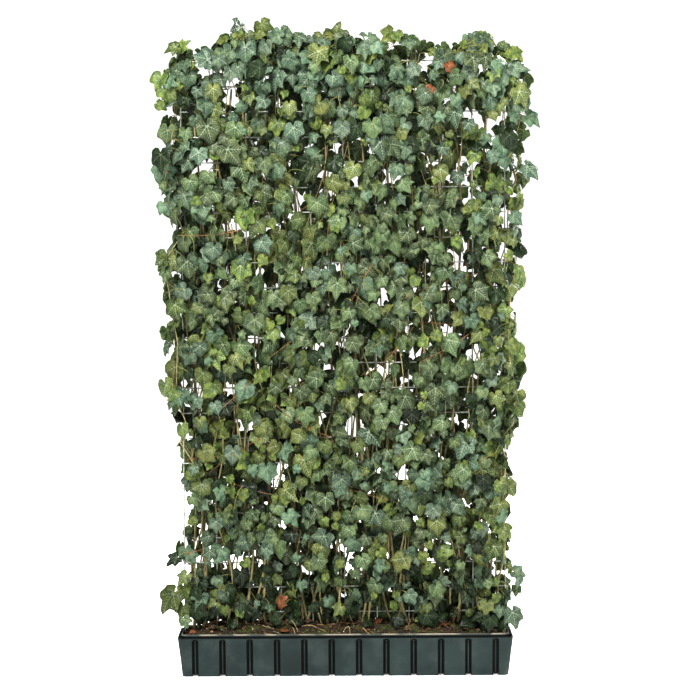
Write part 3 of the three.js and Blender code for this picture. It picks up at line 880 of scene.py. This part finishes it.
def woody_stem_material():
    """Ivy wood and shoots: grey-tan fibrous bark on old stems, green or red skin on young ones."""
    colours = bpy.context.scene.ivy_colours
    material, shader, add = new_material("ivy_bark", roughness=0.8)
    where = add("TexCoord", output="Object")
    stretched = add("Mapping", {"Vector": where, "Scale": (1, 1, 0.12)})
    fibre = add("TexNoise", grain(stretched, 2.2, 4.0, 0.65))
    patch = add("TexNoise", grain(where, 30, 2.0))
    old = (colours.bark, (fibre, 0.35, 0.65)), ("8d8a63", (patch, 0.5, 0.75))
    bark = coats(add, "6f6048", *old)
    young = coats(add, colours.stalk, ("93a05e", (fibre, 0.3, 0.7)))
    red = coats(add, colours.red_shoot, ("a0623f", (fibre, 0.3, 0.7)))
    redness = add("Attribute", attribute_name="redness", output="Fac")
    greenness = add("Attribute", attribute_name="greenness", output="Fac")
    skin = coats(add, bark, (coats(add, young, (red, redness)), greenness))
    bump = add("Bump", relief(fibre, 0.6, 0.7))
    set_inputs(shader, {"Base Color": skin, "Normal": bump})
    return material


# ------------------------------------------------------------------ operators


EYE = (0.015, -8.2, 1.47)
EYE_DOWN, EYE_ROLL = 3.45, 0.3  # degrees
LENS = 141.8  # mm, on a sensor 36 mm wide
LIGHTS = (
    ("key_softbox", (-1.4, -3.4, 4.6), 1.6, 400),
    ("fill_softbox", (3.4, -3.4, 2.4), 1.6, 110),
    ("back_softbox", (2.8, 3.0, 3.8), 1.8, 430),
)


class IVY_OT_stage(bpy.types.Operator):
    """Sets the pale floor, the soft studio light and the camera"""

    bl_idname = "ivy.stage"
    bl_label = "Stage"

    def execute(self, context):
        colours = context.scene.ivy_colours
        floor_material, shader, add = new_material("pale_studio_floor", roughness=0.9)
        # Painted light: the floor glows, dimmer close to the hedge
        where = add("TexCoord", output="Object")
        away = add("VectorMath", (where,), "Value", operation="LENGTH")
        inputs = {
            "Base Color": rgba(colours.floor),
            "Specular IOR Level": 0.1,
            "Emission Color": rgba(colours.floor),
            "Emission Strength": add("MapRange", (away, 0.9, 3.2, 0.30, 1.0), **SMOOTH),
        }
        set_inputs(shader, inputs)
        turns = np.arange(96) * 2 * math.pi / 96
        rim = np.stack([40 * np.cos(turns), 40 * np.sin(turns), 0 * turns], axis=1)
        points = np.concatenate([[[0, 0, 0]], rim])
        spokes = [(0, 1 + i, 1 + (i + 1) % 96) for i in range(96)]
        add_mesh("studio_floor", points, [np.array(spokes)], [floor_material])
        self.add_world(context)
        for light in LIGHTS:
            self.add_light(*light)
        self.add_camera(context)
        # A contrasty picture: deep shade between the leaves under a clean white ground
        context.scene.view_settings.view_transform = "Standard"
        context.scene.view_settings.gamma = 0.77
        context.scene.view_settings.exposure = 0.23
        return {"FINISHED"}

    def add_world(self, context):
        """A studio that is white round the horizon and dim overhead."""
        world = bpy.data.worlds.new("soft_studio")
        context.scene.world = world
        world.use_nodes = True
        tree = world.node_tree
        height = add_node(tree, "SeparateXYZ", (add_node(tree, "TexCoord"),), "Z")
        glow = add_node(tree, "MapRange", (height, 0.10, 0.32, 1.0, 0.08), **SMOOTH)
        set_inputs(tree.nodes["Background"], {"Strength": glow, "Color": (1, 1, 1, 1)})

    def add_light(self, name, where, size, watts):
        light = bpy.data.lights.new(name, "AREA")
        light.size = size
        light.energy = watts
        lamp = bpy.data.objects.new(name, light)
        bpy.context.scene.collection.objects.link(lamp)
        lamp.location = where
        lamp.rotation_euler = (Vector((0, 0, 0.9)) - Vector(where)).to_track_quat("-Z", "Y").to_euler()

    def add_camera(self, context):
        """A long lens at eye height, square to the hedge's front."""
        camera = bpy.data.objects.new("camera", bpy.data.cameras.new("camera"))
        camera.data.sensor_width = 36
        camera.data.lens = LENS
        camera.data.clip_end = 60
        camera.location = EYE
        camera.rotation_euler = (math.radians(90 - EYE_DOWN), math.radians(EYE_ROLL), 0)
        context.scene.collection.objects.link(camera)
        context.scene.camera = camera


class IVY_OT_trough(bpy.types.Operator):
    """Gives the moulded trough its plastic, with soft edges, a pale inner lip and painted shade along
    its rim and grooves
    """

    bl_idname = "ivy.trough"
    bl_label = "Trough"

    def execute(self, context):
        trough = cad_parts["trough"]
        trough.data.materials.clear()
        trough.data.materials.append(self.plastic(context))
        bevel = trough.modifiers.new("moulded_edges", "BEVEL")
        bevel.width = 0.0009
        bevel.segments = 2
        bevel.limit_method = "ANGLE"
        bevel.angle_limit = math.radians(40)
        return {"FINISHED"}

    def plastic(self, context):
        """Recycled polypropylene, injection moulded: near-black green, satin and dusty, with a pale
        inner lip and painted shade along its grooves and outer rim.
        """
        colours = context.scene.ivy_colours
        material, shader, add = new_material("moulded_polypropylene", roughness=0.5, ior=1.49)
        # Sun and dust have taken about two thirds of the new plastic's shine
        set_inputs(shader, {"Specular IOR Level": 0.16})
        where = add("TexCoord", output="Object")
        height = add("SeparateXYZ", (where,), "Z")
        cloud = add("TexNoise", grain(where, 120))
        dust = add("TexNoise", grain(where, 55, 4.0, 0.6))
        lip_patches = add("TexNoise", grain(where, 70, 2.0))
        scuff = add("TexNoise", grain(where, 9, 5.0, 0.7))
        base = coats(
            add,
            "2e3837",
            (colours.trough, (cloud, 0.3, 0.7)),
            ("6a716d", (dust, 0.45, 0.75, 0.0, 0.16)),
            # Painted shade: near-black lines along the groove edges
            ("040606", self.painted_groove_shade(add, where)),
            # A pale line along the top of the inner lip, in patches
            (colours.pale_lip, (height, 0.1215, 0.1245), (lip_patches, 0.42, 0.56, 0.25, 1.0)),
            # Painted shade: a dark band along the outer rim, just under the lip
            ("0a0c0b", (height, 0.1145, 0.1155), (height, 0.1205, 0.1195), 0.9),
        )
        satin = add("MapRange", (scuff, 0.3, 0.7, 0.40, 0.58), **SMOOTH)
        bump = add("Bump", relief(add("TexNoise", grain(where, 1.2, 2.0)), 0.12, 0.25))
        set_inputs(shader, {"Base Color": base, "Roughness": satin, "Normal": bump})
        return material

    def painted_groove_shade(self, add, where):
        """Painted shade along both edges of the front and back grooves, which stand 81.5 mm apart."""
        pitch, half_groove = 81.5 * MM, 6 * MM
        x = add("SeparateXYZ", (where,))
        z = x.node.outputs["Z"]
        beside, across = (
            add("Math", (axis,), operation="ABSOLUTE") for axis in (x, x.node.outputs["Y"])
        )
        steps = add("Math", (x, pitch), operation="DIVIDE")
        part = add("Math", (steps,), operation="FRACT")
        off = add("Math", (add("Math", (part, 0.5), **LESS),), operation="ABSOLUTE")
        off = add("Math", (add("Math", (off, pitch), **TIMES), half_groove), **LESS)
        edge = add("Math", (off,), operation="ABSOLUTE")
        line = (edge, 2.6 * MM, 4.8 * MM, 1.0, 0.0)
        walls = (across, 0.076, 0.079), (z, 0.112, 0.109), (beside, 0.470, 0.460)
        return share_of(add, line, share_of(add, *walls))


SOIL_HALF_SIZES = (0.4866, 0.0866)  # at the surface, clear of the trough's walls
SOIL_EDGE = 0.1195  # its height by the walls
SOIL_HEAP = 0.030  # its rise in the middle


class IVY_OT_soil(bpy.types.Operator):
    """Heaps the potting mix in the trough, crumbly and with patches of moss"""

    bl_idname = "ivy.soil"
    bl_label = "Soil"

    def execute(self, context):
        low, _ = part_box("potting_soil")
        half_x, half_y = SOIL_HALF_SIZES
        nx, ny = 330, 60
        x, y = np.meshgrid(np.linspace(-half_x, half_x, nx), np.linspace(-half_y, half_y, ny))
        corner = np.clip(0.008 - (half_x - np.abs(x)) - (half_y - np.abs(y)), 0, None) / 2
        x, y = x - np.sign(x) * corner, y - np.sign(y) * corner
        top = np.stack([x, y, soil_height(x, y)], axis=-1).reshape(-1, 3)
        # The trough's walls slope inwards, and its grooves stand inside them
        bottom = top * [0.9815, 0.895, 0]
        bottom[:, 2] = low.z + 0.001
        index = np.arange(nx * ny).reshape(ny, nx)
        quads = np.stack([index[:-1, :-1], index[:-1, 1:], index[1:, 1:], index[1:, :-1]], -1)
        quads = quads.reshape(-1, 4)
        ring = np.concatenate([index[0], index[1:, -1], index[-1, -2::-1], index[-2:0:-1, 0]])
        shift = nx * ny
        after = np.roll(ring, -1)
        walls = np.stack([ring, ring + shift, after + shift, after], axis=1)
        points = np.concatenate([top, bottom])
        faces = [np.concatenate([quads, quads[:, ::-1] + shift, walls])]
        soil = add_mesh("potting_mix", points, faces, [self.mix(context)])
        finish_piece(soil, "potting_mix", "potting_soil")
        return {"FINISHED"}

    def mix(self, context):
        """Peat, bark and coir: a dark damp crumb with lighter fibres and green moss by the rim."""
        colours = context.scene.ivy_colours
        material, shader, add = new_material("peat_and_bark_mix", roughness=0.92)
        where = add("TexCoord", output="Object")
        crumb = add("TexNoise", grain(where, 3.5, 5.0, 0.7))
        moss = add("TexNoise", grain(where, 40))
        fibres = ("5a4531", (crumb, 0.62, 0.72))
        greens = ("4a5428", (moss, 0.5, 0.62, 0.0, 0.75))
        base = coats(add, "2a2018", (colours.soil, (crumb, 0.3, 0.7)), fibres, greens)
        bump = add("Bump", relief(crumb, 3.0, 0.9))
        set_inputs(shader, {"Base Color": base, "Normal": bump})
        return material


def soil_height(x, y):
    """The heaped surface of the soil, with clods."""
    heap = SOIL_HEAP * (1 - (y / 0.087) ** 2) * (1 - (x / 0.487) ** 8)
    rough = 0.0032 * np.sin(x * 61 + 2 * np.sin(y * 90)) * np.sin(y * 83 + x * 19 + 1)
    clods = 0.0022 * np.sin(x * 233 + 3 * np.sin(y * 170)) * np.sin(y * 291 + 2 * np.sin(x * 97))
    return SOIL_EDGE + heap + rough + clods


class IVY_OT_litter(bpy.types.Operator):
    """Strews crumbs, perlite, bark, moss, twigs and dead leaves over the soil and the gutter"""

    bl_idname = "ivy.litter"
    bl_label = "Litter"

    def execute(self, context):
        rng = np.random.default_rng(88)
        parts, tints = [], []

        def strew(count, y_low, y_high, size, squash, hex_colours, z=None):
            """Lumps between two distances from the middle, on the soil or at a given height."""
            x = rng.uniform(-0.478, 0.478, count)
            y = rng.uniform(y_low, y_high, count)
            radii = size * rng.uniform(0.5, 1.3, (count, 1)) * rng.uniform(0.6, 1.4, (count, 3))
            radii[:, 2] *= squash
            height = soil_height(x, y) if z is None else np.full(count, z)
            centres = np.stack([x, y, height + radii[:, 2] * 0.4], axis=1)
            parts.append(lumps(rng, centres, radii))
            choices = np.array([linear(h) for h in hex_colours])
            picked = choices[rng.integers(0, len(hex_colours), count)]
            tints.append(np.repeat(picked * rng.uniform(0.7, 1.3, (count, 1)), 12, axis=0))

        strew(1500, -0.080, 0.080, 0.0022, 0.8, ("4a3a2a", "5d4a35", "2f251b", "6a563c"))
        strew(240, -0.080, 0.080, 0.0055, 0.35, ("7a5c3e", "5f452e", "8d7350"))
        strew(110, -0.078, 0.078, 0.0017, 0.9, ("d8d3c6", "bdb7a8"))
        strew(420, -0.0835, -0.060, 0.0019, 0.7, ("56632b", "46542a", "6b7437"))
        strew(200, 0.060, 0.0835, 0.0019, 0.7, ("56632b", "46542a"))
        for side in (FRONT, BACK):
            near, far = sorted((side * 0.0915, side * 0.0950))
            strew(330, near, far, 0.0016, 0.7, ("6d4430", "4b3526", "8a5a3c", "3b3a2a"), z=0.1085)
        twigs, radii, colours = self.twigs(rng)
        parts.append(tubes(twigs, radii, 5))
        tints.append(np.repeat(colours, twigs.shape[1] * 5, axis=0))
        litter = add_mesh("soil_litter", *joined(parts), [self.debris()], smooth=False)
        add_colours(litter, "debris_colour", np.concatenate(tints))
        finish_piece(litter, "potting_mix")
        self.dead_leaves(rng)
        return {"FINISHED"}

    def twigs(self, rng):
        """Twigs and pale surface roots: some lie flat, some arch out of the soil."""
        count, steps = 130, 9
        t = np.linspace(0, 1, steps)[None]
        reach = rng.uniform(0.025, 0.095, (count, 1))
        heading = rng.normal(0, 0.55, (count, 1)) + rng.uniform(-1.4, 1.4, (count, 1)) * t
        step = reach / (steps - 1)
        x = rng.uniform(-0.44, 0.44, (count, 1)) + np.cumsum(np.cos(heading), axis=1) * step
        y = rng.uniform(-0.074, 0.06, (count, 1)) + np.cumsum(np.sin(heading), axis=1) * step
        x, y = np.clip(x, -0.480, 0.480), np.clip(y, -0.080, 0.080)
        arch = np.where(rng.random((count, 1)) < 0.25, rng.uniform(0.010, 0.032, (count, 1)), 0.0)
        thick = rng.uniform(0.0006, 0.0015, (count, 1))
        z = soil_height(x, y) + thick + arch * np.sin(t * math.pi)
        choices = np.array([linear(h) for h in ("b39a70", "8c7350", "c3ad86", "6b4f37")])
        picked = choices[rng.integers(0, len(choices), count)]
        return np.stack([x, y, z], axis=-1), thick * (1 - 0.5 * t), picked

    def dead_leaves(self, rng):
        """Brown leaves that have fallen on the soil."""
        count = 30
        x, y = rng.uniform(-0.46, 0.46, count), rng.uniform(-0.074, 0.070, count)
        sizes = rng.uniform(0.014, 0.030, count)
        lean = [rng.normal(0, 0.25, count), rng.normal(-0.15, 0.25, count), np.ones(count)]
        normals = unit(np.stack(lean, axis=1))
        heading = rng.uniform(0, 6.3, count)
        tips = np.stack([np.cos(heading), np.sin(heading) * 0.6, np.zeros(count)], axis=1)
        tips = unit(tips - normals * np.sum(tips * normals, axis=1, keepdims=True))
        bases = np.stack([x, y, soil_height(x, y) + 0.009], axis=1) - tips * sizes[:, None] * 0.3
        dead = GROWN_TONES + YOUNG_TONES + rng.integers(0, DEAD_TONES, count)
        lobes = rng.random(count)
        piece = grow_blades("fallen_leaves", bases, tips, normals, sizes, dead, lobes, seed=89)
        piece.data.materials.append(ivy_leaf_material())
        finish_piece(piece, "ivy_leaf")

    def debris(self):
        """Dry crumbs of peat, bark, perlite and roots: dull, each of its own colour."""
        material, shader, add = new_material("dry_plant_debris", roughness=0.9)
        rough = add("TexNoise", grain(add("TexCoord", output="Object"), 1.5))
        shade = add("MapRange", (rough, 0.3, 0.7, 0.7, 1.2), **SMOOTH)
        grey = add("CombineColor", (shade, shade, shade))
        tint = add("Attribute", attribute_name="debris_colour", output="Color")
        base = add("Mix", {0: 1.0, 6: tint, 7: grey}, **DARKEN)
        bump = add("Bump", relief(rough, 0.4, 0.6))
        set_inputs(shader, {"Base Color": base, "Normal": bump})
        return material


class IVY_OT_mesh_panel(bpy.types.Operator):
    """Welds the galvanised wires of the mesh panel"""

    bl_idname = "ivy.mesh_panel"
    bl_label = "Mesh panel"

    def execute(self, context):
        radius = context.scene.ivy_sizes.wire
        rng = np.random.default_rng(11)
        uprights = sorted(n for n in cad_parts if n.startswith("mesh_wire_vertical"))
        crosses = sorted(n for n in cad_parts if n.startswith("mesh_wire_horizontal"))
        parts = []
        for name in uprights + crosses:
            low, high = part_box(name)
            middle = (low + high) / 2
            axis = 2 if name in uprights else 0
            t = np.linspace(low[axis], high[axis], 60)
            line = np.tile(np.array(middle), (60, 1))
            line[:, axis] = t
            waver = 0.0007 * np.sin(t * rng.uniform(4, 9) + rng.uniform(0, 6))
            line[:, 0 if axis == 2 else 2] += waver
            parts.append(tubes(line[None], np.full((1, 60), radius), 10))
        nuggets = []
        for upright in uprights:
            low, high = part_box(upright)
            for cross in crosses:
                cross_low, cross_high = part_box(cross)
                y = ((low.y + high.y) / 2 + (cross_low.y + cross_high.y) / 2) / 2
                z = (cross_low.z + cross_high.z) / 2
                nuggets.append(((low.x + high.x) / 2, y, z))
        nuggets = np.array(nuggets)
        t = np.array([-1.0, -0.8, -0.3, 0.3, 0.8, 1.0])
        paths = nuggets[:, None] + np.array([0.0028, 0, 0]) * t[None, :, None]
        swell = np.sqrt(1 - (t * 0.97) ** 2) * 0.0023
        parts.append(tubes(paths, np.tile(swell, (len(nuggets), 1)), 8))
        wires = add_mesh("wire_mesh", *joined(parts), [self.galvanised(context)])
        finish_piece(wires, "galvanised_wire", *uprights, *crosses)
        return {"FINISHED"}

    def galvanised(self, context):
        """Hot-dip galvanised steel: pale grey zinc, dulled in patches by the weather."""
        colours = context.scene.ivy_colours
        material, shader, add = new_material("galvanised_steel", roughness=0.5, metallic=0.3)
        where = add("TexCoord", output="Object")
        dull = share_of(add, (add("TexNoise", grain(where, 14)), 0.4, 0.65))
        base = coats(add, colours.wire, ("a3a79e", dull))
        satin = add("MapRange", (dull, 0, 1, 0.38, 0.62), **SMOOTH)
        bump = add("Bump", relief(add("TexNoise", grain(where, 2, 2.0)), 0.1, 0.4))
        set_inputs(shader, {"Base Color": base, "Roughness": satin, "Normal": bump})
        return material


class IVY_OT_stems(bpy.types.Operator):
    """Grows the climbing stems, their side shoots, aerial roots and leaf stalks"""

    bl_idname = "ivy.stems"
    bl_label = "Stems"

    def execute(self, context):
        sizes = context.scene.ivy_sizes
        material = woody_stem_material()
        network = stem_network()
        spots = network_spots(network)
        bases, _, normals, *_ = placed_leaves()
        stalks = leaf_stalks(bases, normals, spots)
        owners = plant_of(bases[:, 0])
        for plant, (stem, shoots) in enumerate(network):
            rng = np.random.default_rng(60 + plant)
            parts, green, red = [], [], []

            def grow(paths, radii, sides, greenness, redness):
                made = tubes(paths, radii, sides)
                parts.append(made)
                green.append(np.full(len(made[0]), greenness))
                red.append(np.full(len(made[0]), redness))

            knots = 1 + 0.14 * np.sin(np.arange(len(stem)) * 2.1) + rng.normal(0, 0.05, len(stem))
            taper = np.linspace(*STEM_RADII, len(stem)) * knots
            grow(stem[None], taper[None], 10, 0.0, 0.3)
            for line, foot, redness in shoots:
                radii = np.linspace(foot, foot * 0.45, len(line))
                grow(line[None], radii[None], 6, 0.25 + 0.6 * redness, redness)
            rootlets = self.rootlets(rng, stem)
            grow(rootlets, np.tile(np.linspace(0.0006, 0.0002, 4), (len(rootlets), 1)), 4, 0.0, 0.2)
            mine = stalks[owners == plant]
            radii = np.tile(np.linspace(1.25, 0.85, mine.shape[1]) * sizes.petiole, (len(mine), 1))
            grow(mine, radii, 4, 0.95, 0.25)
            piece = add_mesh(f"ivy_{plant + 1:02d}_shoots", *joined(parts), [material])
            add_values(piece, "greenness", np.concatenate(green))
            add_values(piece, "redness", np.concatenate(red))
            finish_piece(piece, "ivy_bark", f"ivy_{plant + 1:02d}_stem")
        return {"FINISHED"}

    def rootlets(self, rng, stem):
        """Short aerial roots that bristle from the lower stem."""
        count = 70
        at = stem[rng.integers(4, 30, count)] + rng.normal(0, 0.006, (count, 3)) * [0, 0, 1]
        heading = unit(rng.normal(0, 1, (count, 3)) * [1, 1, 0.5])
        reach = rng.uniform(0.006, 0.014, (count, 1, 1))
        t = np.linspace(0.25, 1, 4)[None, :, None]
        bend = rng.normal(0, 0.3, (count, 1, 3)) * t**2
        return at[:, None] + (heading[:, None] * t + bend) * reach


def network_spots(network):
    """Points of the stems and shoots where leaf stalks may start."""
    lines = [stem[3:] for stem, _ in network]
    lines += [line[2:] for _, shoots in network for line, _, _ in shoots]
    return np.concatenate(lines)


def plant_of(x):
    """Which plant a place along the hedge belongs to."""
    cell = MESH_WIDTH / PLANTS
    return np.clip(np.floor(x / cell + PLANTS / 2), 0, PLANTS - 1).astype(int)


# Opposite corners of the room that blades may reach into
LOW_REACH = (-0.606, -0.114, 0.120)
HIGH_REACH = (0.606, 0.114, 1.975)


def placed_leaves():
    """Every leaf, moved where needed so that its blade stays inside its room."""
    bases, *rest = all_leaves()
    tips, normals, sizes, _, _ = rest
    low, high = np.array(LOW_REACH), np.array(HIGH_REACH)
    return kept_inside((bases, tips, normals, sizes), low, high), *rest


class IVY_OT_leaves(bpy.types.Operator):
    """Grows the leaves of each plant"""

    bl_idname = "ivy.leaves"
    bl_label = "Leaves"

    def execute(self, context):
        material = ivy_leaf_material()
        leaves = placed_leaves()
        owners = plant_of(leaves[0][:, 0])
        for plant in range(PLANTS):
            mine = [values[owners == plant] for values in leaves]
            name = f"ivy_{plant + 1:02d}_foliage"
            piece = grow_blades(name, *mine, seed=500 + plant)
            piece.data.materials.append(material)
            finish_piece(piece, "ivy_leaf", f"ivy_{plant + 1:02d}_leaves")
        return {"FINISHED"}


class IVY_PT_panel(bpy.types.Panel):
    """Sizes, colours and building steps of the hedge"""

    bl_label = "Ivy hedge"
    bl_space_type = "VIEW_3D"
    bl_region_type = "UI"
    bl_category = "Ivy hedge"

    def draw(self, context):
        for group in (context.scene.ivy_sizes, context.scene.ivy_colours):
            for name in group.bl_rna.properties.keys():
                if name not in ("rna_type", "name"):
                    self.layout.prop(group, name)
        for step in STEPS:
            self.layout.operator(step.bl_idname)


STEPS = (
    IVY_OT_stage,
    IVY_OT_trough,
    IVY_OT_soil,
    IVY_OT_litter,
    IVY_OT_mesh_panel,
    IVY_OT_stems,
    IVY_OT_leaves,
)
CLASSES = (IvySizes, IvyColours, *STEPS, IVY_PT_panel)


def register():
    for made in CLASSES:
        bpy.utils.register_class(made)
    bpy.types.Scene.ivy_sizes = PointerProperty(type=IvySizes)
    bpy.types.Scene.ivy_colours = PointerProperty(type=IvyColours)


def unregister():
    del bpy.types.Scene.ivy_colours
    del bpy.types.Scene.ivy_sizes
    for made in reversed(CLASSES):
        bpy.utils.unregister_class(made)


def main():
    register()
    bpy.ops.ivy.stage()
    bpy.ops.ivy.trough()
    bpy.ops.ivy.soil()
    bpy.ops.ivy.litter()
    bpy.ops.ivy.mesh_panel()
    bpy.ops.ivy.stems()
    bpy.ops.ivy.leaves()


if __name__ == "__main__":
    main()
